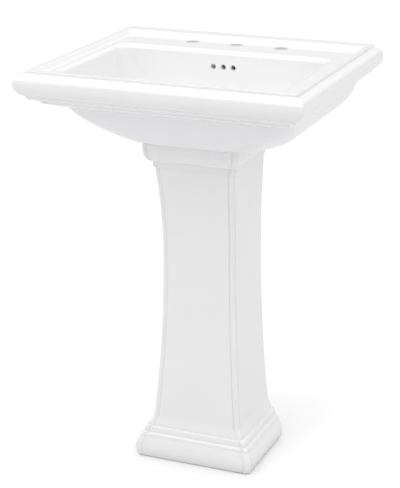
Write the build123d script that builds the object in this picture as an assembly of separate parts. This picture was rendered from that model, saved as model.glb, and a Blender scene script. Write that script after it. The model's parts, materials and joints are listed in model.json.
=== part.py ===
from build123d import *

import math
import os

# Pedestal sink: a moulded china basin on a hollow china pedestal, with its drain and P-trap.
# Millimetres, +Z up. The origin is on the floor, under the middle of the basin.
# -Y is the front, and the wall is the plane Y = WALL_Y. Everything ends at or in front of it.

# ---------------------------------------------------------------- driving dimensions
WIDTH = 610.0             # over the basin's rim
DEPTH = 516.0             # wall to the front of the rim
HEIGHT = 886.0            # floor to the top of the rim
WALL_Y = DEPTH / 2

# basin rim: offsets are outwards from the bead's outer edge, drops are below the rim
OVERHANG = 21.0           # the bullnose stands this far outside the bead
BEAD_X = WIDTH / 2 - OVERHANG
BEAD_FRONT = DEPTH / 2 - OVERHANG
BEAD_WIDTH = 11.0
BEAD_RADIUS = 3.0
BACK_BEAD = 34.0          # the bead is wider along the wall
DECK_DROP = 8.0
DECK_Z = HEIGHT - DECK_DROP
BASIN_HEIGHT = 167.0
BASIN_BOTTOM_Z = HEIGHT - BASIN_HEIGHT

# the bowl's outside below the rim: drop, half width, front, and radius of the front corners
RIM_DEPTH = 71.0
SOFFIT = [(RIM_DEPTH, 258.0, -211.0, 4.0), (88.0, 247.0, -157.0, 30.0), (110.0, 237.0, -142.0, 70.0),
          (128.0, 226.0, -128.0, 100.0), (150.0, 205.0, -107.0, 130.0),
          (BASIN_HEIGHT, 176.0, -87.0, 150.0)]

# bowl
BOWL_HALF_X = 235.0
BOWL_FRONT_Y = -195.0
BOWL_BACK_Y = 109.0
BOWL_FLOOR_Z = HEIGHT - 147.0
BOWL_EDGE_RADIUS = 10.0
DRAIN_Y = 5.0
DRAIN_HOLE_R = 22.5

# holes in the china
FAUCET_PITCH = 101.6
FAUCET_HOLE_R = 14.5
FAUCET_Y = WALL_Y - 75.0
OVERFLOW_PITCH = 22.5
OVERFLOW_R = 5.5
CHANNEL_WALL = 9.0        # china in front of the overflow channel, and behind it
CHANNEL_DEPTH = 9.0
OVERFLOW_Z = HEIGHT - 41.5
WALL_BOLT_PITCH = 280.0
WALL_BOLT_R = 6.0
WALL_BOLT_Z = HEIGHT - 60.0
CHINA = 14.0              # wall thickness of the castings

# pedestal
PEDESTAL_BACK_Y = 124.0
PAD_THICKNESS = 1.0
PEDESTAL_TOP_Z = BASIN_BOTTOM_Z - PAD_THICKNESS
CAPITAL_HALF_X = 104.5
CAPITAL_FRONT = 85.0
SHAFT_TOP_Z = 655.0
SHAFT_BOTTOM_Z = 80.0
SHAFT_WAIST_Z = 470.0
SHAFT_TOP = (86.8, 60.0)      # half width, and how far the front stands forward
SHAFT_WAIST = (81.6, 39.0)
SHAFT_BOTTOM = (101.5, 60.0)
BASE_FLOOR = (130.0, 77.0)
BASE_BULGE = (136.0, 83.0)
BASE_TORUS_Z = 48.0
CORNER = 11.0             # width of the bead down each front corner
QUIRK = 2.5               # the groove on each side of that bead
LIP = 18.0                # the pedestal's back edges turn in by this much
FLOOR_BOLT_PITCH = 110.0
FLOOR_BOLT_R = 6.0
FLOOR_BOLT_Y = 100.0
LUG_HEIGHT = 18.0

# drain, a 1-1/4 in push-type one
TUBE_R = 15.875           # 1-1/4 in tubular
TUBE_WALL = 1.2
DRAIN_R = 18.5            # threaded body of the drain
DRAIN_BORE_R = 16.0
FLANGE_R = 31.5
FLANGE_THICKNESS = 3.0
FLANGE_SEAL = 1.0
DRAIN_LENGTH = 70.0
STOPPER_TRAVEL = 8.0
RUN_GAP = 0.3             # between pieces that move on each other

# P-trap
TRAP_RADIUS = 36.5        # centreline of the J-bend
TRAP_BEND_Z = 505.0
TRAP_OUTLET_Y = DRAIN_Y + 2 * TRAP_RADIUS
ARM_RADIUS = 36.0
ARM_Z = 591.0
SOCKET_R = 17.7           # outside of the J-bend's two sockets
SOCKET_BORE_R = 16.2
INLET_TOP_Z = 556.0
OUTLET_TOP_Z = 548.0
TAILPIECE_BOTTOM_Z = 528.0


# ---------------------------------------------------------------- helpers
def tube(x, y, z_low, z_high, r_out, r_in):
    """An upright tube."""
    ring = Circle(r_out) - Circle(r_in)
    return Pos(x, y, z_low) * extrude(ring, z_high - z_low)


def hex_ring(y, z_low, z_high, across_flats, r_in):
    """A hexagonal nut with its axis upright."""
    ring = RegularPolygon(across_flats / 2, 6, major_radius=False) - Circle(r_in)
    return Pos(0, y, z_low) * extrude(ring, z_high - z_low)


def turned(points, y):
    """A solid of revolution about the upright axis at Y = y, from (radius, z) points."""
    outline = Polyline(*[(r, 0, z) for r, z in points], close=True)
    return Pos(0, y, 0) * revolve(make_face(outline), Axis.Z)


def side_extrusion(half_outline):
    """Mirrors a half outline in (x, z) about the middle and extrudes it along Y."""
    edges = half_outline + [edge.mirror(Plane.YZ) for edge in half_outline]
    return extrude(make_face(edges), DEPTH, dir=(0, 1, 0), both=True)


# ---------------------------------------------------------------- basin
def rim_moulding(place):
    """The rim's edges from the bead down to the soffit, as place(offset, drop) puts them."""
    r = BEAD_RADIUS
    return [
        ThreePointArc(place(-r, 0), place(-0.3 * r, 0.3 * r), place(0, r)),
        Line(place(0, r), place(0, 5.5)),
        Line(place(0, 5.5), place(6, 7)),
        ThreePointArc(place(6, 7), place(17, 12), place(OVERHANG, 23)),
        ThreePointArc(place(OVERHANG, 23), place(17, 38), place(5, 50)),
        Line(place(5, 50), place(2, 50)),
        ThreePointArc(place(2, 50), place(-0.5, 57), place(-7, 60)),
        Line(place(-7, 60), place(-20, 65)),
        ThreePointArc(place(-20, 65), place(-21.5, 69), place(-26, RIM_DEPTH)),
    ]


def rim():
    """The rim: its outline along the sides, cut by its outline along the front."""
    def side(offset, drop):
        return (BEAD_X + offset, 0, HEIGHT - drop)

    def front(offset, drop):
        return (0, -BEAD_FRONT - offset, HEIGHT - drop)

    low, high = HEIGHT - RIM_DEPTH, HEIGHT
    side_outline = rim_moulding(side) + [
        Line(side(-26, RIM_DEPTH), (0, 0, low)),
        Line((0, 0, high), side(-BEAD_RADIUS, 0)),
    ]
    front_outline = rim_moulding(front) + [
        Line(front(-26, RIM_DEPTH), (0, WALL_Y, low)),
        Line((0, WALL_Y, low), (0, WALL_Y, high)),
        Line((0, WALL_Y, high), front(-BEAD_RADIUS, 0)),
    ]
    along_y = side_extrusion(side_outline)
    along_x = extrude(make_face(front_outline), WIDTH, dir=(1, 0, 0), both=True)
    return along_y & along_x


def soffit():
    """The bowl's outside below the rim, running straight back to the wall."""
    levels = [Pos(0, WALL_Y, HEIGHT - drop) * RectangleRounded(2 * half_x, 2 * (WALL_Y - front), radius)
              for drop, half_x, front, radius in SOFFIT]
    outside = loft(levels[:2], ruled=True) + loft(levels[1:])
    return outside & Box(2 * WIDTH, DEPTH, 2 * HEIGHT)


def deck_recess():
    """The flat deck inside the bead, with sloping sides up to it."""
    half_x = BEAD_X - BEAD_WIDTH - DECK_DROP
    front = -BEAD_FRONT + BEAD_WIDTH + DECK_DROP
    back = WALL_Y - BACK_BEAD - DECK_DROP
    floor = Rectangle(2 * half_x, back - front)
    recess = extrude(floor, DECK_DROP + 1, taper=-45)
    return Pos(0, (front + back) / 2, DECK_Z) * recess


def bowl_section(drop, half_x, front, back, radius):
    """A rounded rectangle that cuts the bowl at a depth below the rim."""
    outline = RectangleRounded(2 * half_x, back - front, radius)
    return Pos(0, (front + back) / 2, HEIGHT - drop) * outline


def bowl():
    """The bowl: steep sides under the deck, then a dish with a sloping front."""
    top = bowl_section(DECK_DROP - 1, BOWL_HALF_X, BOWL_FRONT_Y, BOWL_BACK_Y, 26)
    shoulder = bowl_section(45, BOWL_HALF_X - 8, BOWL_FRONT_Y + 14, BOWL_BACK_Y - 4, 36)
    floor_drop = HEIGHT - BOWL_FLOOR_Z
    sections = [
        shoulder,
        bowl_section(80, BOWL_HALF_X - 15, BOWL_FRONT_Y + 52, BOWL_BACK_Y - 7, 60),
        bowl_section(110, BOWL_HALF_X - 26, BOWL_FRONT_Y + 74, BOWL_BACK_Y - 14, 80),
        bowl_section(133, BOWL_HALF_X - 55, BOWL_FRONT_Y + 100, BOWL_BACK_Y - 26, 70),
        bowl_section(floor_drop, 105, DRAIN_Y - 58, DRAIN_Y + 54, 50),
    ]
    return loft([top, shoulder], ruled=True) + loft(sections)


def overflow_channel():
    """From the three overflow holes down inside the back of the bowl to the drain hole."""
    near = BOWL_BACK_Y + CHANNEL_WALL
    far = near + CHANNEL_DEPTH
    points = [(near, -33), (far, -33), (far, -137), (far - 14, -152),
              (DRAIN_Y, -161), (DRAIN_Y, -152), (near - 18, -144), (near, -130)]
    outline = Polyline(*[(0, y, HEIGHT + z) for y, z in points], close=True)
    channel = extrude(make_face(outline), 2.2 * OVERFLOW_PITCH / 2, dir=(1, 0, 0), both=True)
    for i in (-1, 0, 1):
        hole = Rot(-90, 0, 0) * Cylinder(OVERFLOW_R, 60)
        channel += Pos(i * OVERFLOW_PITCH, near - 26, OVERFLOW_Z) * hole
    return channel


def faucet_pocket():
    """The space under the deck behind the bowl, open downwards, for the faucet's shanks."""
    half = [(262, -22), (262, -46), (240, -72), (226, -102), (208, -130), (190, -148), (158, -168)]
    points = half + [(-x, z) for x, z in reversed(half)]
    outline = Polyline(*[(x, 0, HEIGHT + z) for x, z in points], close=True)
    front = BOWL_BACK_Y + CHANNEL_DEPTH + 2 * CHANNEL_WALL
    pocket = extrude(make_face(outline), WALL_Y - CHINA - front, dir=(0, 1, 0))
    return Pos(0, front, 0) * pocket


def basin():
    body = rim() + soffit()
    body -= deck_recess() + bowl() + overflow_channel() + faucet_pocket()
    body -= Pos(0, DRAIN_Y, BASIN_BOTTOM_Z) * Cylinder(DRAIN_HOLE_R, 80)
    seat_r = FLANGE_R + 1.5
    seat_depth = FLANGE_THICKNESS + FLANGE_SEAL
    body -= tube(0, DRAIN_Y, BOWL_FLOOR_Z - seat_depth, BOWL_FLOOR_Z + 6, seat_r, 1) + \
        Pos(0, DRAIN_Y, BOWL_FLOOR_Z) * Cylinder(2, 2 * seat_depth)
    for i in (-1, 0, 1):
        body -= Pos(i * FAUCET_PITCH, FAUCET_Y, DECK_Z) * Cylinder(FAUCET_HOLE_R, 4 * CHINA)
    for side in (-1, 1):
        hole = Rot(90, 0, 0) * Cylinder(WALL_BOLT_R, 4 * CHINA)
        body -= Pos(side * WALL_BOLT_PITCH / 2, WALL_Y, WALL_BOLT_Z) * hole
    edge = [e for e in body.edges().filter_by_position(Axis.Z, DECK_Z - 0.1, DECK_Z + 0.1)
            if abs(e.center().X) < BOWL_HALF_X + 1
            and BOWL_FRONT_Y - 1 < e.center().Y < BOWL_BACK_Y + 1]
    return fillet(edge, BOWL_EDGE_RADIUS)


# ---------------------------------------------------------------- pedestal
def blend(low, high, share):
    """A (half width, front) pair between two others."""
    return tuple(a + (b - a) * share for a, b in zip(low, high))


def shaft_size(z):
    """The shaft tapers in to its waist and flares out again, a parabola each way."""
    end = SHAFT_TOP if z > SHAFT_WAIST_Z else SHAFT_BOTTOM
    end_z = SHAFT_TOP_Z if z > SHAFT_WAIST_Z else SHAFT_BOTTOM_Z
    return blend(SHAFT_WAIST, end, ((z - SHAFT_WAIST_Z) / (end_z - SHAFT_WAIST_Z)) ** 2)


def section(size, z, corner=CORNER, quirk=QUIRK):
    """A level of the pedestal: square at the back, with a quirked bead at each front corner."""
    half_x, front = size
    c, q = corner, quirk
    right = [(half_x, PEDESTAL_BACK_Y), (half_x, -front + c + q),
             (half_x - 1.6 * q, -front + c), (half_x - q, -front + c - q),
             (half_x - c + q, -front + q), (half_x - c, -front + 1.6 * q),
             (half_x - c - q, -front)]
    points = right + [(-x, y) for x, y in reversed(right)]
    return Pos(0, 0, z) * make_face(Polyline(*points, close=True))


def stack(levels, ruled=False, **corner):
    """A solid through several (size, z) levels."""
    return loft([section(size, z, **corner) for size, z in levels], ruled=ruled)


def base_moulding():
    """Three small quarter rounds stepping out from the shaft to a torus on the floor."""
    def bulge(z):
        lift = math.sin(math.pi * (z / BASE_TORUS_Z) ** 0.8)
        return blend(blend(BASE_FLOOR, steps[0][0], z / BASE_TORUS_Z), BASE_BULGE, lift)

    steps = [(blend(SHAFT_BOTTOM, BASE_FLOOR, share), z)
             for share, z in ((0.87, BASE_TORUS_Z), (0.6, 57), (0.25, 71))]
    heights = [0, 12, 24, 36, BASE_TORUS_Z]
    moulding = stack([(bulge(z), z) for z in heights], corner=16, quirk=1.5)
    tops = [57, 71, SHAFT_BOTTOM_Z]
    for (size, z), top in zip(steps, tops):
        inner = blend(size, SHAFT_BOTTOM, 0.25)
        middle = (z + 0.6 * (top - z))
        moulding += stack([(size, z), (blend(size, inner, 0.2), middle), (inner, top)])
    return moulding


def capital():
    """A small fillet over the shaft, then a quarter round out to a plain band."""
    neck = blend(SHAFT_TOP, (CAPITAL_HALF_X, CAPITAL_FRONT), 0.2)
    foot = blend(SHAFT_TOP, (CAPITAL_HALF_X, CAPITAL_FRONT), 0.36)
    band = (CAPITAL_HALF_X, CAPITAL_FRONT)
    fillet_low, fillet_high, band_z = SHAFT_TOP_Z + 8, 677, 707
    body = stack([(SHAFT_TOP, SHAFT_TOP_Z), (SHAFT_TOP, fillet_low)], ruled=True)
    body += stack([(neck, fillet_low), (neck, fillet_high)], ruled=True)
    rises = [(blend(foot, band, math.sin(a)), fillet_high + (band_z - fillet_high) * (1 - math.cos(a)))
             for a in (0, math.pi / 6, math.pi / 3, math.pi / 2)]
    body += stack(rises)
    return body + stack([(band, band_z), (band, PEDESTAL_TOP_Z)], ruled=True)


def hollow():
    """The inside of the casting, open at the top, the bottom and the back."""
    def inner(size, z, back, inset):
        half_x = size[0] - inset
        front = CHINA - size[1]
        return Pos(0, (front + back) / 2, z) * Rectangle(2 * half_x, back - front)

    levels = [(BASE_FLOOR, -1), (BASE_FLOOR, 30), (SHAFT_BOTTOM, SHAFT_BOTTOM_Z),
              (shaft_size(260), 260), (SHAFT_WAIST, SHAFT_WAIST_Z), (SHAFT_TOP, SHAFT_TOP_Z),
              ((CAPITAL_HALF_X, CAPITAL_FRONT - 4), PEDESTAL_TOP_Z + 1)]
    room = loft([inner(size, z, PEDESTAL_BACK_Y - CHINA, CHINA) for size, z in levels], ruled=True)
    back_way = loft([inner(size, z, PEDESTAL_BACK_Y + 1, CHINA + LIP) for size, z in levels],
                    ruled=True)
    return room + back_way


def pedestal():
    heights = [SHAFT_BOTTOM_Z, 180, 320, SHAFT_WAIST_Z, 570, SHAFT_TOP_Z]
    body = base_moulding() + stack([(shaft_size(z), z) for z in heights]) + capital()
    body -= hollow()
    lug_width = 2 * (BASE_FLOOR[0] - CHINA / 2)
    lug_depth = PEDESTAL_BACK_Y - FLOOR_BOLT_Y
    lug = Pos(0, FLOOR_BOLT_Y, LUG_HEIGHT / 2) * Box(lug_width, 2 * lug_depth, LUG_HEIGHT)
    for side in (-1, 1):
        lug -= Pos(side * FLOOR_BOLT_PITCH / 2, FLOOR_BOLT_Y, 0) * Cylinder(FLOOR_BOLT_R, 60)
    return body + lug


def pedestal_pads():
    """Four rubber pads that the basin rests on."""
    x = CAPITAL_HALF_X - CHINA / 2
    spots = [(x, -40), (-x, -40), (x, 80), (-x, 80)]
    pad = Box(10, 30, PAD_THICKNESS)
    return Compound(children=[Pos(px, py, PEDESTAL_TOP_Z + PAD_THICKNESS / 2) * pad
                              for px, py in spots])


# ---------------------------------------------------------------- drain
FLANGE_SEAT_Z = BOWL_FLOOR_Z - FLANGE_THICKNESS - FLANGE_SEAL
FLANGE_LOW_Z = FLANGE_SEAT_Z + FLANGE_SEAL
DRAIN_LOW_Z = BOWL_FLOOR_Z - DRAIN_LENGTH
CARTRIDGE_LOW_Z = BOWL_FLOOR_Z - 42
CARTRIDGE_TOP_Z = BOWL_FLOOR_Z - 7
CARTRIDGE_R = 9.0
STEM_R = 4.0
CAP_Z = BOWL_FLOOR_Z + STOPPER_TRAVEL + 3 + RUN_GAP
CAP_R = 27.0
SPRING_R = 6.4
SPRING_WIRE_R = 0.45
SHELF_Z = CARTRIDGE_LOW_Z + 2


def drain_body():
    """A flange, a threaded tube with overflow ports, and a shelf that the cartridge stands on."""
    points = [(DRAIN_BORE_R, DRAIN_LOW_Z), (DRAIN_R, DRAIN_LOW_Z), (DRAIN_R, FLANGE_LOW_Z),
              (FLANGE_R, FLANGE_LOW_Z), (FLANGE_R, BOWL_FLOOR_Z - 1), (FLANGE_R - 2, BOWL_FLOOR_Z),
              (DRAIN_R + 3, BOWL_FLOOR_Z), (DRAIN_BORE_R, BOWL_FLOOR_Z - 5)]
    body = turned(points, DRAIN_Y)
    body += tube(0, DRAIN_Y, SHELF_Z - 2, SHELF_Z, DRAIN_BORE_R + 1, DRAIN_BORE_R - 2)
    for angle in (0, 90):
        port = Rot(0, 90, angle) * Cylinder(4, 60)
        body -= Pos(0, DRAIN_Y, BOWL_FLOOR_Z - 11) * port
    return body


def drain_flange_seal():
    return tube(0, DRAIN_Y, FLANGE_SEAT_Z, FLANGE_LOW_Z, FLANGE_R - 2, DRAIN_HOLE_R + 1)


GASKET_LOW_Z = BASIN_BOTTOM_Z - 11
WASHER_LOW_Z = GASKET_LOW_Z - 2
LOCKNUT_LOW_Z = WASHER_LOW_Z - 10


def drain_bevel_gasket():
    points = [(DRAIN_R + 0.2, GASKET_LOW_Z), (32, GASKET_LOW_Z), (32, GASKET_LOW_Z + 4),
              (26, BASIN_BOTTOM_Z), (DRAIN_R + 0.2, BASIN_BOTTOM_Z)]
    return turned(points, DRAIN_Y)


def drain_friction_washer():
    return tube(0, DRAIN_Y, WASHER_LOW_Z, GASKET_LOW_Z, 31, DRAIN_R + 0.2)


def drain_locknut():
    nut = hex_ring(DRAIN_Y, LOCKNUT_LOW_Z, WASHER_LOW_Z, 54, DRAIN_R + 0.1)
    cone = turned([(0, LOCKNUT_LOW_Z - 1), (27.5, LOCKNUT_LOW_Z - 1), (31.5, LOCKNUT_LOW_Z + 4),
                   (31.5, WASHER_LOW_Z + 1), (0, WASHER_LOW_Z + 1)], DRAIN_Y)
    return nut & cone


def tailpiece():
    """The tube below the drain. A collar on it pulls its seal up against the drain's end."""
    pipe = tube(0, DRAIN_Y, TAILPIECE_BOTTOM_Z, DRAIN_LOW_Z + 18, TUBE_R, TUBE_R - TUBE_WALL)
    collar = hex_ring(DRAIN_Y, DRAIN_LOW_Z - 12, DRAIN_LOW_Z - 3, 38, TUBE_R - TUBE_WALL)
    return pipe + collar


def tailpiece_seal():
    return tube(0, DRAIN_Y, DRAIN_LOW_Z - 3, DRAIN_LOW_Z, DRAIN_R, TUBE_R + 0.1)


def stopper_cartridge():
    """The guide that the stem slides in, on three arms and a ring that stands on the shelf."""
    hub = tube(0, DRAIN_Y, CARTRIDGE_LOW_Z, CARTRIDGE_TOP_Z, CARTRIDGE_R, STEM_R + RUN_GAP)
    ring = tube(0, DRAIN_Y, SHELF_Z, SHELF_Z + 4, DRAIN_BORE_R - 0.2, DRAIN_BORE_R - 2)
    guide = hub + ring
    for i in range(3):
        arm = Pos(CARTRIDGE_R + 2.5, 0, 2) * Box(6.5, 2.4, 4)
        guide += Pos(0, DRAIN_Y, SHELF_Z) * Rot(0, 0, 90 + 120 * i) * arm
    return guide


def stopper_stem():
    """A threaded post under the cap, with a head below the cartridge that stops it coming out."""
    post = Pos(0, DRAIN_Y, 0) * extrude(Circle(STEM_R), CAP_Z - CARTRIDGE_LOW_Z + 4)
    head = Pos(0, DRAIN_Y, -3) * extrude(Circle(STEM_R + 2.5), 3)
    return Pos(0, 0, CARTRIDGE_LOW_Z - RUN_GAP) * (post + head)


def stopper_cap():
    """A shallow dome with a turned-down rim and a threaded boss."""
    points = [(STEM_R + 0.1, CAP_Z - 1), (8.5, CAP_Z - 1), (8.5, CAP_Z + 1), (CAP_R - 1.5, CAP_Z),
              (CAP_R, CAP_Z + 1), (CAP_R, CAP_Z + 2.5), (CAP_R * 0.8, CAP_Z + 5),
              (CAP_R * 0.45, CAP_Z + 6.6), (0, CAP_Z + 7.2), (0, CAP_Z + 4.5),
              (STEM_R + 0.1, CAP_Z + 4.5)]
    return turned(points, DRAIN_Y)


def stopper_seal():
    return tube(0, DRAIN_Y, CAP_Z - 3, CAP_Z, 25.2, DRAIN_R + 3.5)


def stopper_spring():
    """A light compression spring round the stem, from the cartridge up to the cap's boss."""
    low = CARTRIDGE_TOP_Z + SPRING_WIRE_R + 0.05
    high = CAP_Z - 1 - SPRING_WIRE_R - 0.05
    path = Helix((high - low) / 5, high - low, SPRING_R)
    start = Plane(origin=path @ 0, z_dir=path % 0)
    coil = sweep(start * Circle(SPRING_WIRE_R), path=path, is_frenet=True)
    return Pos(0, DRAIN_Y, low) * coil


# ---------------------------------------------------------------- trap
def pipe_along(path, r_out, r_in):
    """A round tube along a path of lines and arcs."""
    start = Plane(origin=path @ 0, z_dir=path % 0)
    return sweep(start * (Circle(r_out) - Circle(r_in)), path=path)


BEND_BOTTOM_Z = TRAP_BEND_Z - TRAP_RADIUS - TUBE_R
BOSS_LOW_Z = BEND_BOTTOM_Z - 5


def trap_j_bend():
    """Down, round and up, with a socket at each end and a cleanout boss underneath."""
    inlet, outlet = DRAIN_Y, TRAP_OUTLET_Y
    middle = (inlet + outlet) / 2
    path = Wire([
        Line((0, inlet, INLET_TOP_Z - 32), (0, inlet, TRAP_BEND_Z)),
        ThreePointArc((0, inlet, TRAP_BEND_Z), (0, middle, TRAP_BEND_Z - TRAP_RADIUS),
                      (0, outlet, TRAP_BEND_Z)),
        Line((0, outlet, TRAP_BEND_Z), (0, outlet, OUTLET_TOP_Z - 16)),
    ])
    bend = pipe_along(path, TUBE_R, TUBE_R - TUBE_WALL)
    bend += tube(0, inlet, INLET_TOP_Z - 33, INLET_TOP_Z, SOCKET_R, SOCKET_BORE_R)
    bend += tube(0, inlet, INLET_TOP_Z - 36, INLET_TOP_Z - 32, SOCKET_R, TUBE_R - TUBE_WALL)
    bend += tube(0, outlet, OUTLET_TOP_Z - 17, OUTLET_TOP_Z, SOCKET_R, SOCKET_BORE_R)
    bend += tube(0, outlet, OUTLET_TOP_Z - 20, OUTLET_TOP_Z - 16, SOCKET_R, TUBE_R - TUBE_WALL)
    boss = Pos(0, middle, BOSS_LOW_Z) * extrude(Circle(11), 9)
    plug_hole = Pos(0, middle, BOSS_LOW_Z - 1) * extrude(Circle(8.2), 12)
    inside = pipe_along(path, TUBE_R - TUBE_WALL, 0.01)
    return bend + (boss - inside) - plug_hole


def slip_nut(y, socket_top):
    """A hexagonal slip nut: wide over the socket's thread, narrow where it grips the washer."""
    nut = hex_ring(y, socket_top - 12, socket_top + 8, 46, TUBE_R + 0.4)
    return nut - tube(0, y, socket_top - 13, socket_top + 4, SOCKET_R + 0.1, TUBE_R)


def slip_washer(y, socket_top):
    """A bevelled plastic washer squeezed between the socket, the tube and the nut."""
    points = [(TUBE_R + 0.1, socket_top), (SOCKET_R, socket_top), (SOCKET_R, socket_top + 3.8),
              (TUBE_R + 0.1, socket_top + 3.8)]
    return turned(points, y)


def trap_arm():
    """Up out of the J-bend, round an elbow and back to the wall."""
    y = TRAP_OUTLET_Y
    low = OUTLET_TOP_Z - 12
    spring_line = ARM_Z - ARM_RADIUS
    corner = ARM_RADIUS * (1 - math.sqrt(0.5))
    path = Wire([
        Line((0, y, low), (0, y, spring_line)),
        ThreePointArc((0, y, spring_line), (0, y + corner, ARM_Z - corner),
                      (0, y + ARM_RADIUS, ARM_Z)),
        Line((0, y + ARM_RADIUS, ARM_Z), (0, WALL_Y, ARM_Z)),
    ])
    return pipe_along(path, TUBE_R, TUBE_R - TUBE_WALL)


def cleanout_plug():
    middle = (DRAIN_Y + TRAP_OUTLET_Y) / 2
    head = RegularPolygon(9.5, 6, major_radius=False)
    plug = Pos(0, middle, BOSS_LOW_Z - 7.5) * extrude(head, 6)
    return plug + Pos(0, middle, BOSS_LOW_Z - 1.5) * extrude(Circle(8), 7)


def cleanout_washer():
    middle = (DRAIN_Y + TRAP_OUTLET_Y) / 2
    return tube(0, middle, BOSS_LOW_Z - 1.5, BOSS_LOW_Z, 10.5, 8.1)


def wall_escutcheon():
    """A spun cover over the hole in the wall, slid along the trap arm."""
    points = [(TUBE_R + 0.3, -9), (TUBE_R + 2, -9), (TUBE_R + 5, -6), (27, -4), (32, -1.2),
              (33, 0), (31.6, 0), (26.4, -2.8), (TUBE_R + 4, -4.8), (TUBE_R + 0.3, -7.6)]
    outline = Polyline(*[(r, y, 0) for r, y in points], close=True)
    return Pos(0, WALL_Y, ARM_Z) * revolve(make_face(outline), Axis.Y)


# ---------------------------------------------------------------- write the parts
PARTS = {
    "basin": basin,
    "pedestal": pedestal,
    "pedestal_pads": pedestal_pads,
    "drain_body": drain_body,
    "drain_flange_seal": drain_flange_seal,
    "drain_bevel_gasket": drain_bevel_gasket,
    "drain_friction_washer": drain_friction_washer,
    "drain_locknut": drain_locknut,
    "tailpiece": tailpiece,
    "tailpiece_seal": tailpiece_seal,
    "stopper_cartridge": stopper_cartridge,
    "stopper_stem": stopper_stem,
    "stopper_cap": stopper_cap,
    "stopper_seal": stopper_seal,
    "stopper_spring": stopper_spring,
    "trap_j_bend": trap_j_bend,
    "trap_inlet_nut": lambda: slip_nut(DRAIN_Y, INLET_TOP_Z),
    "trap_inlet_washer": lambda: slip_washer(DRAIN_Y, INLET_TOP_Z),
    "trap_union_nut": lambda: slip_nut(TRAP_OUTLET_Y, OUTLET_TOP_Z),
    "trap_union_washer": lambda: slip_washer(TRAP_OUTLET_Y, OUTLET_TOP_Z),
    "trap_arm": trap_arm,
    "cleanout_plug": cleanout_plug,
    "cleanout_washer": cleanout_washer,
    "wall_escutcheon": wall_escutcheon,
}

os.makedirs("parts", exist_ok=True)
for name, make in PARTS.items():
    export_step(make(), f"parts/{name}.step")
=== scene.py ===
import json
import math

import bmesh
import bpy
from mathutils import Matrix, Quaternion, Vector


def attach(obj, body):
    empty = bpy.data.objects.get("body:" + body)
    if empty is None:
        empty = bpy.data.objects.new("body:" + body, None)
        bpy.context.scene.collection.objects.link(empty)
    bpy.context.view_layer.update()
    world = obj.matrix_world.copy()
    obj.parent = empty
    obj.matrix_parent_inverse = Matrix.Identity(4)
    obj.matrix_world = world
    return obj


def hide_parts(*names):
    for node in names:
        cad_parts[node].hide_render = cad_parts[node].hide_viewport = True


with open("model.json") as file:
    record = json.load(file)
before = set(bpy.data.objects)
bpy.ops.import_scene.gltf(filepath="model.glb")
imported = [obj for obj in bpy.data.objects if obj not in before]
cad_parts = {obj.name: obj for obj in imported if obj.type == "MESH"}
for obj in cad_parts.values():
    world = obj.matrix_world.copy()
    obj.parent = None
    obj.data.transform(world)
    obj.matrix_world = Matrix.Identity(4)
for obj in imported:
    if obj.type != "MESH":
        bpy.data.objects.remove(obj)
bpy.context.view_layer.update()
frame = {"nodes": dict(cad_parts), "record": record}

# The pedestal sink's looks. Shapes are worked out in millimetres and put down in metres.
MM = 0.001

# ---------------------------------------------------------------- driving dimensions, mm
WIDTH, DEPTH, HEIGHT = 610.0, 516.0, 886.0
WALL_Y = DEPTH / 2
BEAD_X = WIDTH / 2 - 21.0
BEAD_FRONT = DEPTH / 2 - 21.0
BEAD_WIDTH = 11.0
BACK_BEAD = 34.0
DECK_DROP = 8.0
BASIN_BOTTOM_Z = 719.0
# the bowl's outside below the rim: drop from the top, half width, front, radius of the front corners
SOFFIT = [(71.0, 258.0, -211.0, 4.0), (88.0, 247.0, -160.0, 25.0), (110.0, 237.0, -148.0, 50.0),
          (128.0, 224.0, -136.0, 70.0), (150.0, 198.0, -116.0, 88.0), (167.0, 160.0, -96.0, 88.0)]
BOWL_HALF_X = 235.0
BOWL_FRONT_Y = -195.0
BOWL_BACK_Y = 109.0
BOWL_FLOOR_DROP = 147.0
BOWL_EDGE_RADIUS = 10.0
DRAIN_Y = 5.0
DRAIN_HOLE_R = 22.5
DRAIN_SEAT_R = 33.0
DRAIN_SEAT_DEPTH = 4.0
FAUCET_PITCH = 101.6
FAUCET_HOLE_R = 14.5
FAUCET_Y = 183.0
OVERFLOW_PITCH = 22.5
OVERFLOW_R = 5.5
OVERFLOW_Z = 844.5
CHANNEL_WALL = 9.0
CHANNEL_DEPTH = 9.0
WALL_BOLT_X = 140.0
WALL_BOLT_Z = 826.0
BOLT_R = 6.0
CHINA = 14.0                          # wall thickness

PEDESTAL_BACK_Y = 124.0
PEDESTAL_TOP_Z = 718.0
SHAFT_TOP = (655.0, 86.8, 60.0)       # height, half width, how far the front stands forward
SHAFT_WAIST = (470.0, 81.6, 39.0)
SHAFT_BOTTOM = (80.0, 101.5, 60.0)
CAPITAL = (104.5, 85.0)
BASE_FLOOR = (130.0, 77.0)
BASE_BULGE = (136.0, 83.0)
TORUS_TOP_Z = 48.0
LIP = 18.0
LUG_HEIGHT = 18.0
FLOOR_BOLT_X = 55.0
FLOOR_BOLT_Y = 100.0
CAPITAL_CURVE_Z = (677.0, 707.0)      # the capital's curved part
FOOT_BEAD = (16, 1.5)                 # front corner bead and the groove beside it
MOULDING_BEAD = (13, 2.0)
SHAFT_BEAD = (11.5, 10.0, 2.5)        # bead at the bottom, bead at the top, groove
CAPITAL_BEAD = (10, 2.5)

# ---------------------------------------------------------------- studio values
HORIZON, ZENITH_EXTRA = 0.55, 1.12    # brightness level with the eye, and what the zenith adds
FLOOR_BOUNCE = (0.755, 0.75, 0.765)   # what the floor gives back to the object
FLOOR_SEEN = (0.97, 0.97, 0.97)       # what the camera sees
FLOOR_HALF = 25.0
CAMERA_PLACE = (1.19697, -2.87065, 1.55474)
CAMERA_TURNS = (0.3984, 0.3314, -0.0072)     # yaw, pitch down, roll
CAMERA_LENS, CAMERA_SENSOR = 114.25, 36


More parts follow.
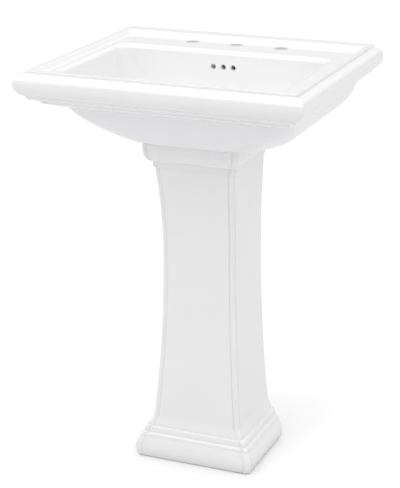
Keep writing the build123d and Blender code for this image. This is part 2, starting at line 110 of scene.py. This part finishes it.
# ---------------------------------------------------------------- lines and rings
def arc(a, b, c, n):
    """Points on the circle through the 2-D points a, b and c, from a to c."""
    (ax, ay), (bx, by), (cx, cy) = a, b, c
    d = 2 * (ax * (by - cy) + bx * (cy - ay) + cx * (ay - by))
    aa, bb, cc = ax * ax + ay * ay, bx * bx + by * by, cx * cx + cy * cy
    ux = (aa * (by - cy) + bb * (cy - ay) + cc * (ay - by)) / d
    uy = (aa * (cx - bx) + bb * (ax - cx) + cc * (bx - ax)) / d
    start, mid, end = (math.atan2(y - uy, x - ux) for x, y in (a, b, c))
    turn = (end - start) % (2 * math.pi)
    if (mid - start) % (2 * math.pi) > turn:
        turn -= 2 * math.pi
    r = math.hypot(ax - ux, ay - uy)
    return [(ux + r * math.cos(start + turn * i / n), uy + r * math.sin(start + turn * i / n))
            for i in range(n + 1)]


def lerp(a, b, t):
    """The point at a share t of the way from a to b, in any number of dimensions."""
    return tuple(p + (q - p) * t for p, q in zip(a, b))


def soften(points, radius, steps=4, closed=False):
    """Rounds the corners of a line in any number of dimensions. Each corner gives steps + 1 points."""
    out = []
    count = len(points)
    for i, p in enumerate(points):
        if not closed and i in (0, count - 1):
            out.append(tuple(p))
            continue
        before, after = points[i - 1], points[(i + 1) % count]
        to_before, to_after = math.dist(p, before), math.dist(p, after)
        r = radius[i] if isinstance(radius, (list, tuple)) else radius
        cut = min(r, 0.45 * to_before, 0.45 * to_after)
        a, b = lerp(p, before, cut / to_before), lerp(p, after, cut / to_after)
        for k in range(steps + 1):
            t = k / steps
            out.append(tuple((1 - t) ** 2 * u + 2 * t * (1 - t) * v + t * t * w
                             for u, v, w in zip(a, p, b)))
    return out


def rounded(half_x, front, back, front_r, back_r, z, across=28, along=24, corner=8):
    """A rounded rectangle, from the front left corner round by the right, with even quads."""
    points = []

    def bend(cx, cy, r, start):
        for k in range(corner + 1):
            a = math.radians(start + 90 * k / corner)
            points.append((cx + r * math.cos(a), cy + r * math.sin(a), z))

    def run(x0, y0, x1, y1, n):
        for k in range(1, n):
            points.append((x0 + (x1 - x0) * k / n, y0 + (y1 - y0) * k / n, z))

    fx, bx = half_x - front_r, half_x - back_r
    fy, by = front + front_r, back - back_r
    run(-fx, front, fx, front, across)
    bend(fx, fy, front_r, -90)
    run(half_x, fy, half_x, by, along)
    bend(bx, by, back_r, 0)
    run(bx, back, -bx, back, across)
    bend(-bx, by, back_r, 90)
    run(-half_x, by, -half_x, fy, along)
    bend(-fx, fy, front_r, 180)
    return points


def ring_round(ring, radius, z, cx=0.0, cy=DRAIN_Y):
    """A circle whose points are in the directions of another ring's points."""
    out = []
    for x, y, _ in ring:
        length = math.hypot(x - cx, y - cy)
        out.append((cx + radius * (x - cx) / length, cy + radius * (y - cy) / length, z))
    return out


def skin(name, rings, closed=False):
    """A mesh through rings of equal length. Open stacks are capped with one face at each end."""
    n = len(rings[0])
    verts = [Vector(p) * MM for ring in rings for p in ring]
    pairs = [(i, i + 1) for i in range(len(rings) - 1)]
    if closed:
        pairs.append((len(rings) - 1, 0))
    faces = [(a * n + k, a * n + (k + 1) % n, b * n + (k + 1) % n, b * n + k)
             for a, b in pairs for k in range(n)]
    if not closed:
        faces.append(tuple(reversed(range(n))))
        faces.append(tuple(range((len(rings) - 1) * n, len(rings) * n)))
    return make_object(name, verts, faces)


def make_object(name, verts, faces):
    """An object from vertices in metres and faces, with its normals outwards."""
    mesh = bpy.data.meshes.new(name)
    mesh.from_pydata(verts, [], faces)
    obj = bpy.data.objects.new(name, mesh)
    bpy.context.collection.objects.link(obj)
    bm = bmesh.new()
    bm.from_mesh(mesh)
    bmesh.ops.remove_doubles(bm, verts=bm.verts, dist=1e-6)
    bmesh.ops.recalc_face_normals(bm, faces=bm.faces)
    bm.to_mesh(mesh)
    bm.free()
    return obj


def lathe(name, profile, centre, axis="Z", segments=48):
    """A closed solid turned from (radius, height) points, standing at centre."""
    rings = []
    for r, h in profile:
        ring = []
        for k in range(segments):
            a = 2 * math.pi * k / segments
            u, v = r * math.cos(a), r * math.sin(a)
            if axis == "Z":
                ring.append((centre[0] + u, centre[1] + v, centre[2] + h))
            else:
                ring.append((centre[0] + u, centre[1] + h, centre[2] + v))
        rings.append(ring)
    return skin(name, rings)


def prism(name, outline, y0, y1):
    """An (x, z) outline run from y0 to y1."""
    return skin(name, [[(x, y, z) for x, z in outline] for y in (y0, y1)])


def combine(obj, other, operation):
    """Adds or cuts another solid, which is then gone."""
    modifier = obj.modifiers.new("combine", "BOOLEAN")
    modifier.operation = operation
    modifier.solver = "EXACT"
    modifier.object = other
    bpy.context.view_layer.update()
    evaluated = obj.evaluated_get(bpy.context.evaluated_depsgraph_get())
    mesh = bpy.data.meshes.new_from_object(evaluated)
    obj.modifiers.clear()
    obj.data = mesh
    bpy.data.objects.remove(other)


def finish_surface(obj, sharp_angle=40.0):
    """Smooth shading, with hard edges kept hard and flat faces kept flat."""
    bm = bmesh.new()
    bm.from_mesh(obj.data)
    bmesh.ops.remove_doubles(bm, verts=bm.verts, dist=2e-6)
    limit = math.radians(sharp_angle)
    for face in bm.faces:
        face.smooth = True
    for edge in bm.edges:
        edge.smooth = not (edge.is_manifold and edge.calc_face_angle() > limit)
    bm.to_mesh(obj.data)
    bm.free()
    weighted = obj.modifiers.new("weighted", "WEIGHTED_NORMAL")
    weighted.keep_sharp = True
    weighted.weight = 70


# ---------------------------------------------------------------- basin
def moulding():
    """The rim from the deck's edge outwards and down: (side x, front y, z, corner radius, back y)."""
    inner = BEAD_X - BEAD_WIDTH
    back = WALL_Y - BACK_BEAD

    def at(offset, drop, corner=3.0, back_y=WALL_Y):
        return (BEAD_X + offset, -BEAD_FRONT - offset, HEIGHT - drop, corner, back_y)

    profile = [(inner - BEAD_X - DECK_DROP - 6, DECK_DROP, 10.0, back - DECK_DROP - 6),
               (inner - BEAD_X - DECK_DROP, DECK_DROP, 8.0, back - DECK_DROP),
               (inner - BEAD_X, 0, 4.0, back)]
    start = [at(o, d, c, b) for o, d, c, b in profile]
    outer = [(0, 0), (0, 5.5), (6, 7)]
    outer += arc((6, 7), (17, 12), (21, 23), 10)[1:]
    outer += arc((21, 23), (17, 38), (5, 50), 14)[1:]
    outer += [(2, 50)] + arc((2, 50), (-0.5, 57), (-7, 60), 6)[1:]
    outer += [(-20, 65)] + arc((-20, 65), (-21.5, 69), (-26, 71), 4)[1:]
    return start + [at(o, d) for o, d in outer]


def between(levels, drop, end_pull):
    """A row at a drop, smoothly through a table of (drop, ...) rows whose first span is straight."""
    drops = [level[0] for level in levels]
    i = max(k for k in range(len(levels) - 1) if drops[k] <= drop or k == 0)
    a, b = levels[i], levels[i + 1]
    span = b[0] - a[0]
    t = (drop - a[0]) / span

    def slope(k, j):
        low, high = levels[max(k - 1, 0)], levels[min(k + 1, len(levels) - 1)]
        return (high[j] - low[j]) / (high[0] - low[0])

    out = []
    for j in range(1, len(a)):
        if i == 0:
            out.append(a[j] + (b[j] - a[j]) * t)
            continue
        m0, m1 = slope(i, j) * span, slope(i + 1, j) * span
        if i == 1:
            m0 = 0.7 * (b[j] - a[j]) + 0.3 * m0
        if i + 1 == len(levels) - 1:
            m1 = end_pull * (b[j] - a[j])
        out.append((2 * t ** 3 - 3 * t ** 2 + 1) * a[j] + (t ** 3 - 2 * t ** 2 + t) * m0
                   + (-2 * t ** 3 + 3 * t ** 2) * b[j] + (t ** 3 - t ** 2) * m1)
    return out


def soffit():
    """The bowl's outside, below the moulding. Its front corners grow rounder on the way down."""
    turn, end = SOFFIT[1][0], SOFFIT[-1][0]       # where the straight part and the whole end
    drops = [76, 81, 85.5, turn] + [turn + (end - turn) * k / 30 for k in range(1, 31)]
    levels = []
    for drop in drops:
        half_x, front, r = between(SOFFIT, drop, 1.4)
        levels.append((half_x, front, HEIGHT - drop, r, WALL_Y))
    return levels


def bowl_size(drop):
    """The bowl at a depth: (half width, front, back, corner radius)."""
    x, f, b = BOWL_HALF_X, BOWL_FRONT_Y, BOWL_BACK_Y
    levels = [(8, x, f, b, 26), (45, x - 8, f + 14, b - 4, 36), (80, x - 15, f + 52, b - 7, 60),
              (110, x - 26, f + 74, b - 14, 80), (133, x - 55, f + 100, b - 26, 70),
              (BOWL_FLOOR_DROP, 105, DRAIN_Y - 58, DRAIN_Y + 54, 50)]
    return between(levels, drop, 2.2)


def bowl_ring(drop, grow=0.0):
    """The bowl at a depth, wider all round by grow."""
    half_x, front, back, r = bowl_size(drop)
    return rounded(half_x + grow, front - grow, back + grow, r + grow, r + grow,
                   HEIGHT - drop)


def basin_rings():
    """From the drain hole up the bowl, over the deck and rim, down the outside and back to the hole."""
    rings = []
    for k in range(8):                                  # the bowl's rolled edge, from the deck inwards
        a = math.radians(90 * k / 7)
        grow = BOWL_EDGE_RADIUS * (1 - math.sin(a))
        drop = DECK_DROP + BOWL_EDGE_RADIUS * (1 - math.cos(a))
        rings.append(bowl_ring(drop, grow))
    drops = [20, 26, 32, 38, 43, 47, 52, 58] + [58 + 5 * k for k in range(1, 16)]
    drops += [136, 139, 141.5, 143.5, 145.2, 146.4, BOWL_FLOOR_DROP]
    rings += [bowl_ring(drop) for drop in drops]
    last = rings[-1]
    floor_z = HEIGHT - BOWL_FLOOR_DROP
    rings += [ring_round(last, r, floor_z + dz) for r, dz in
              ((40, -0.2), (DRAIN_SEAT_R + 1.2, -0.3), (DRAIN_SEAT_R + 0.3, -0.6),
               (DRAIN_SEAT_R, -1.3), (DRAIN_SEAT_R, -DRAIN_SEAT_DEPTH),
               (DRAIN_HOLE_R, -DRAIN_SEAT_DEPTH), (DRAIN_HOLE_R, BASIN_BOTTOM_Z - floor_z))]
    rings.reverse()
    outer = [rounded(x, y, back, c, 1.5 if back > WALL_Y - 1 else c, z)
             for x, y, z, c, back in soften(moulding(), 1.6, 3) + soffit()]
    deck_edge = bowl_ring(DECK_DROP, BOWL_EDGE_RADIUS + 3)
    rings += [deck_edge] + outer
    bottom = outer[-1]
    rings += [ring_round(bottom, r, BASIN_BOTTOM_Z) for r in (60, 40)]
    return rings


def faucet_pocket():
    """The cutter for the space under the deck: half its outline as (x, z from the top)."""
    half = [(262, -22), (262, -46), (240, -72), (225, -102), (206, -130), (183, -148), (144, -168)]
    outline = half + [(-x, z) for x, z in reversed(half)]
    soft = soften([(x, HEIGHT + z) for x, z in outline], 9, 5, closed=True)
    return prism("pocket", soft, BOWL_BACK_Y + CHANNEL_DEPTH + 2 * CHANNEL_WALL, WALL_Y - CHINA)


def overflow_channel():
    """The cutter for the way from the overflow holes down behind the bowl to the drain."""
    near = BOWL_BACK_Y + CHANNEL_WALL
    far = near + CHANNEL_DEPTH
    points = [(near, -33), (far, -33), (far, -137), (far - 14, -152),
              (DRAIN_Y, -161), (DRAIN_Y, -152), (near - 18, -144), (near, -130)]
    half = 1.1 * OVERFLOW_PITCH
    return skin("channel", [[(x, y, HEIGHT + z) for y, z in points] for x in (-half, half)])


def flared_hole(r, depth, flare, axis, centre, direction=1):
    """A cutter for a hole with a rounded mouth at centre. It runs from the mouth inwards by depth."""
    profile = [(r + flare + 1.5, 4.0), (r + flare, 0.05)]
    for k in range(1, 6):
        a = math.radians(90 * k / 5)
        profile.append((r + flare * (1 - math.sin(a)), -flare * (1 - math.cos(a))))
    profile.append((r, -depth))
    return lathe("hole", [(p, direction * h) for p, h in profile], centre, axis)


def make_basin():
    basin = skin("basin_china", basin_rings(), closed=True)
    combine(basin, faucet_pocket(), "DIFFERENCE")
    combine(basin, overflow_channel(), "DIFFERENCE")
    for i in (-1, 0, 1):
        deck = (i * FAUCET_PITCH, FAUCET_Y, HEIGHT - DECK_DROP)
        combine(basin, flared_hole(FAUCET_HOLE_R, 2 * CHINA, 1.6, "Z", deck), "DIFFERENCE")
        wall_y = bowl_size(HEIGHT - OVERFLOW_Z)[2]
        mouth = (i * OVERFLOW_PITCH, wall_y, OVERFLOW_Z)
        combine(basin, flared_hole(OVERFLOW_R, CHINA, 1.2, "Y", mouth, -1), "DIFFERENCE")
    for side in (-1, 1):
        mouth = (side * WALL_BOLT_X, WALL_Y, WALL_BOLT_Z)
        combine(basin, flared_hole(BOLT_R, 2 * CHINA, 1.0, "Y", mouth), "DIFFERENCE")
    finish_surface(basin)
    return basin


# ---------------------------------------------------------------- pedestal
def shaft_size(z):
    """The shaft's half width and front at a height: a parabola either side of the waist."""
    end = SHAFT_TOP if z > SHAFT_WAIST[0] else SHAFT_BOTTOM
    share = ((z - SHAFT_WAIST[0]) / (end[0] - SHAFT_WAIST[0])) ** 2
    return lerp(SHAFT_WAIST[1:], end[1:], share)


def base_levels():
    """(z, half width, front, corner bead, quirk) from the floor up to the shaft."""
    foot, torus_top = BASE_FLOOR, lerp(SHAFT_BOTTOM[1:], BASE_FLOOR, 0.87)
    levels = [(0.0, foot[0] - 1.5, foot[1] - 1.5, *FOOT_BEAD)]
    for k in range(17):
        t = k / 16
        lift = math.sin(math.pi * t ** 0.8)
        plain = lerp(foot, torus_top, t)
        size = lerp(plain, BASE_BULGE, lift)
        levels.append((TORUS_TOP_Z * max(t, 0.03), size[0], size[1], *FOOT_BEAD))
    z = TORUS_TOP_Z
    for share, top in ((0.87, 57), (0.60, 71), (0.25, 80)):
        size = lerp(SHAFT_BOTTOM[1:], BASE_FLOOR, share)
        inner = lerp(size, SHAFT_BOTTOM[1:], 0.25)
        for t, s in ((0.0, 0.0), (0.35, 0.06), (0.6, 0.2), (0.82, 0.5), (1.0, 1.0)):
            x, f = lerp(size, inner, s)
            levels.append((z + t * (top - z), x, f, *MOULDING_BEAD))
        z = top
    return levels


def capital_levels():
    """The same from the shaft's top to the pedestal's: a step, a curve outwards and a plain band."""
    neck = lerp(SHAFT_TOP[1:], CAPITAL, 0.2)
    foot = lerp(SHAFT_TOP[1:], CAPITAL, 0.36)
    low = SHAFT_TOP[0] + 8
    high, band = CAPITAL_CURVE_Z
    levels = [(SHAFT_TOP[0], *SHAFT_TOP[1:]), (low, *SHAFT_TOP[1:]), (low, *neck), (high, *neck),
              (high, *foot)]
    for k in range(1, 11):
        a = math.radians(9 * k)
        z = high + (band - high) * (1 - math.cos(a))
        levels.append((z, *lerp(foot, CAPITAL, math.sin(a))))
    levels.append((PEDESTAL_TOP_Z, *CAPITAL))
    return [(z, x, f, *CAPITAL_BEAD) for z, x, f in levels]


def pedestal_levels():
    """All the levels of the pedestal, with the mouldings' corners softened."""
    low, high = SHAFT_BOTTOM[0], SHAFT_TOP[0]
    bead_low, bead_high, quirk = SHAFT_BEAD
    shaft = []
    for k in range(45):
        z = low + (high - low) * k / 44
        share = (z - low) / (high - low)
        shaft.append((z, *shaft_size(z), bead_low - (bead_low - bead_high) * share, quirk))
    rough = base_levels() + shaft[1:-1] + capital_levels()
    return soften(rough, 1.3, 2)


def inside(z):
    """The hollow's half width and how far its front stands forward."""
    table = [(0, BASE_FLOOR), (30, BASE_FLOOR), (SHAFT_BOTTOM[0], SHAFT_BOTTOM[1:]),
             (260, shaft_size(260)), (SHAFT_WAIST[0], SHAFT_WAIST[1:]),
             (SHAFT_TOP[0], SHAFT_TOP[1:]), (PEDESTAL_TOP_Z, (CAPITAL[0], CAPITAL[1] - 4))]
    for (z0, a), (z1, b) in zip(table, table[1:]):
        if z <= z1:
            size = lerp(a, b, (z - z0) / (z1 - z0))
            break
    return size[0] - CHINA, size[1] - CHINA


def pedestal_ring(z, half_x, front, corner, quirk):
    """One level: round the outside with its quirked beads, then back round the inside."""
    r = corner / 2
    bead = [(corner + quirk, 0.0), (1.87 * r + 0.35 * quirk, 0.5 * r)]
    for k in range(9):
        a = math.radians(-36 - 198 * k / 8)
        bead.append((r + r * math.cos(a), r + r * math.sin(a)))
    bead += [(0.5 * r, 1.87 * r + 0.35 * quirk), (0.0, corner + quirk)]
    depth = quirk / 2.5
    right = []
    for u, v in bead:
        side = depth if v < 0.6 * r and u > r else 1
        face = depth if u < 0.6 * r and v > r else 1
        right.append((half_x - v * side, -front + u * face))
    back = PEDESTAL_BACK_Y
    inner_x, inner_front = inside(z)
    open_x = inner_x - LIP
    side_runs = [(half_x, back - (back + front - 30) * k / 8) for k in range(1, 8)]
    face_runs = [((half_x - 25) * (1 - k / 4), -front) for k in range(5)]
    half_out = [(open_x, back - 1.5), (open_x + 1.5, back), (half_x - 2, back), (half_x, back - 2)]
    half_out += side_runs + right + face_runs
    inner = [(0, -inner_front), (inner_x - 8, -inner_front), (inner_x - 2, -inner_front + 2),
             (inner_x, -inner_front + 8), (inner_x, back - CHINA - 5),
             (inner_x - 2, back - CHINA), (open_x + 1.5, back - CHINA), (open_x, back - CHINA + 1.5)]
    outer_loop = half_out + [(-x, y) for x, y in reversed(half_out[:-1])]
    inner_loop = [(-x, y) for x, y in reversed(inner[1:])] + inner
    return [(x, y, z) for x, y in outer_loop + inner_loop]


def make_pedestal():
    pedestal = skin("pedestal_china", [pedestal_ring(*level) for level in pedestal_levels()])
    lug_x = BASE_FLOOR[0] - CHINA / 2
    plan = rounded(lug_x, 2 * FLOOR_BOLT_Y - PEDESTAL_BACK_Y, PEDESTAL_BACK_Y, 3, 1, 0)
    low = [(x, y, 0.0) for x, y, _ in plan]
    high = [(x, y, LUG_HEIGHT) for x, y, _ in plan]
    lug = skin("lug", [low, high])
    for side in (-1, 1):
        mouth = (side * FLOOR_BOLT_X, FLOOR_BOLT_Y, LUG_HEIGHT)
        combine(lug, flared_hole(BOLT_R, 2 * LUG_HEIGHT, 1.0, "Z", mouth), "DIFFERENCE")
    combine(pedestal, lug, "UNION")
    finish_surface(pedestal)
    return pedestal


# ---------------------------------------------------------------- materials
def new_material(name, base, roughness, metallic=0.0):
    """A material with its Principled shader, ready for the nodes that vary it."""
    material = bpy.data.materials.new(name)
    material.use_nodes = True
    tree = material.node_tree
    shader = tree.nodes["Principled BSDF"]
    shader.inputs["Base Color"].default_value = (*base, 1)
    shader.inputs["Roughness"].default_value = roughness
    shader.inputs["Metallic"].default_value = metallic
    return material, tree, shader


def noise(tree, scale, detail=3.0, stretch=(1, 1, 1)):
    coords = tree.nodes.new("ShaderNodeTexCoord")
    mapping = tree.nodes.new("ShaderNodeMapping")
    mapping.inputs["Scale"].default_value = stretch
    texture = tree.nodes.new("ShaderNodeTexNoise")
    texture.inputs["Scale"].default_value = scale
    texture.inputs["Detail"].default_value = detail
    tree.links.new(coords.outputs["Object"], mapping.inputs["Vector"])
    tree.links.new(mapping.outputs["Vector"], texture.inputs["Vector"])
    return texture.outputs["Fac"]


def vary_colour(tree, shader, fac, low, high, spread=(0.35, 0.65)):
    ramp = tree.nodes.new("ShaderNodeValToRGB")
    ramp.color_ramp.elements[0].position, ramp.color_ramp.elements[1].position = spread
    ramp.color_ramp.elements[0].color = (*low, 1)
    ramp.color_ramp.elements[1].color = (*high, 1)
    tree.links.new(fac, ramp.inputs["Fac"])
    tree.links.new(ramp.outputs["Color"], shader.inputs["Base Color"])


def vary_roughness(tree, shader, fac, low, high):
    spread = tree.nodes.new("ShaderNodeMapRange")
    spread.inputs["To Min"].default_value = low
    spread.inputs["To Max"].default_value = high
    tree.links.new(fac, spread.inputs["Value"])
    tree.links.new(spread.outputs["Result"], shader.inputs["Roughness"])


def add_bump(tree, shader, fac, strength, distance):
    bump = tree.nodes.new("ShaderNodeBump")
    bump.inputs["Strength"].default_value = strength
    bump.inputs["Distance"].default_value = distance
    tree.links.new(fac, bump.inputs["Height"])
    tree.links.new(bump.outputs["Normal"], shader.inputs["Normal"])


def china_material():
    material, tree, shader = new_material("glazed_china", (0.8, 0.8, 0.8), 0.1)
    shader.inputs["IOR"].default_value = 1.54
    shader.inputs["Coat Weight"].default_value = 0.25
    shader.inputs["Coat Roughness"].default_value = 0.04
    vary_colour(tree, shader, noise(tree, 9, 4), (0.885, 0.885, 0.887), (0.895, 0.894, 0.893))
    vary_roughness(tree, shader, noise(tree, 35, 5), 0.07, 0.14)
    add_bump(tree, shader, noise(tree, 22, 2), 0.06, 0.002)
    return material


def metal_material(name, low, high, roughness, scale=60, stretch=(1, 1, 1)):
    material, tree, shader = new_material(name, high, roughness[0], 1.0)
    vary_colour(tree, shader, noise(tree, scale, 4, stretch), low, high)
    vary_roughness(tree, shader, noise(tree, 2.5 * scale, 5, stretch), *roughness)
    add_bump(tree, shader, noise(tree, 6 * scale, 3, stretch), 0.05, 0.0004)
    return material


def soft_material(name, low, high, roughness, scale, bump):
    material, tree, shader = new_material(name, high, roughness[0])
    vary_colour(tree, shader, noise(tree, scale, 4), low, high)
    vary_roughness(tree, shader, noise(tree, 2 * scale, 4), *roughness)
    add_bump(tree, shader, noise(tree, 8 * scale, 3), bump, 0.0003)
    return material


MATERIALS = {
    "china": china_material(),
    "chrome": metal_material("polished_chrome", (0.74, 0.75, 0.77), (0.86, 0.87, 0.88), (0.04, 0.13)),
    "brass": metal_material("machined_brass", (0.66, 0.46, 0.20), (0.80, 0.60, 0.30), (0.22, 0.38)),
    "rubber": soft_material("black_rubber", (0.018, 0.018, 0.019), (0.035, 0.035, 0.036),
                            (0.55, 0.75), 120, 0.3),
    "plastic": soft_material("moulded_plastic", (0.74, 0.73, 0.68), (0.82, 0.81, 0.77),
                             (0.35, 0.5), 90, 0.15),
    "spring_steel": metal_material("drawn_wire", (0.50, 0.50, 0.51), (0.66, 0.66, 0.67),
                                   (0.2, 0.35), 150, (1, 1, 6)),
}
for part in frame["record"]["subparts"]:
    cad = frame["nodes"][part["node"]]
    cad.data.materials.clear()
    cad.data.materials.append(MATERIALS[part["material_slot"]])

for piece, node in ((make_basin(), "basin"), (make_pedestal(), "pedestal")):
    piece.data.materials.clear()
    piece.data.materials.append(MATERIALS["china"])
    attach(piece, "fixture")
    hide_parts(node)


# ---------------------------------------------------------------- studio
def make_floor():
    """A plain floor that looks paler to the camera than what it gives back."""
    size = FLOOR_HALF
    floor = make_object("floor", [Vector((x, y, 0)) for x, y in
                                  ((-size, -size), (size, -size), (size, size), (-size, size))],
                        [(0, 1, 2, 3)])
    material, tree, shader = new_material("pale_floor", (0.8, 0.8, 0.8), 0.9)
    shader.inputs["Specular IOR Level"].default_value = 0.1
    path = tree.nodes.new("ShaderNodeLightPath")
    pale = tree.nodes.new("ShaderNodeMix")
    pale.data_type = "RGBA"
    pale.inputs["A"].default_value = (*FLOOR_BOUNCE, 1)
    pale.inputs["B"].default_value = (*FLOOR_SEEN, 1)
    tree.links.new(path.outputs["Is Camera Ray"], pale.inputs["Factor"])
    tree.links.new(pale.outputs["Result"], shader.inputs["Base Color"])
    floor.data.materials.append(material)


def make_world():
    """An even white studio, brighter above."""
    world = bpy.data.worlds.new("studio")
    bpy.context.scene.world = world
    world.use_nodes = True
    tree = world.node_tree
    background = tree.nodes["Background"]
    background.inputs["Color"].default_value = (1, 1, 1, 1)
    coords = tree.nodes.new("ShaderNodeTexCoord")
    split = tree.nodes.new("ShaderNodeSeparateXYZ")
    square = tree.nodes.new("ShaderNodeMath")
    square.operation = "MULTIPLY"
    level = tree.nodes.new("ShaderNodeMath")
    level.operation = "MULTIPLY_ADD"
    level.inputs[1].default_value = ZENITH_EXTRA
    level.inputs[2].default_value = HORIZON
    tree.links.new(coords.outputs["Generated"], split.inputs["Vector"])
    tree.links.new(split.outputs["Z"], square.inputs[0])
    tree.links.new(split.outputs["Z"], square.inputs[1])
    tree.links.new(square.outputs["Value"], level.inputs[0])
    tree.links.new(level.outputs["Value"], background.inputs["Strength"])


def add_softbox(name, place, target, size, power, colour=(1, 1, 1)):
    light = bpy.data.lights.new(name, "AREA")
    light.shape = "RECTANGLE"
    light.size, light.size_y = size
    light.energy = power
    light.color = colour
    lamp = bpy.data.objects.new(name, light)
    lamp.location = place
    lamp.rotation_euler = (Vector(target) - Vector(place)).to_track_quat("-Z", "Y").to_euler()
    bpy.context.collection.objects.link(lamp)


def make_camera():
    camera = bpy.data.cameras.new("camera")
    camera.sensor_fit = "AUTO"
    camera.sensor_width = CAMERA_SENSOR
    camera.lens = CAMERA_LENS
    obj = bpy.data.objects.new("camera", camera)
    obj.location = CAMERA_PLACE
    yaw, pitch, roll = CAMERA_TURNS
    obj.rotation_mode = "QUATERNION"
    turn = Quaternion((0, 0, 1), yaw) @ Quaternion((1, 0, 0), math.pi / 2 - pitch)
    obj.rotation_quaternion = turn @ Quaternion((0, 0, 1), roll)
    bpy.context.collection.objects.link(obj)
    bpy.context.scene.camera = obj


make_floor()
make_world()
add_softbox("right_softbox", (3.2, 0.8, 1.6), (0, 0, 0.6), (1.8, 2.4), 7, (1.0, 0.965, 0.92))
add_softbox("front_softbox", (-1.3, -2.4, 3.4), (0, 0, 0.8), (1.6, 1.2), 19)
make_camera()
bpy.context.scene.view_settings.view_transform = "Standard"
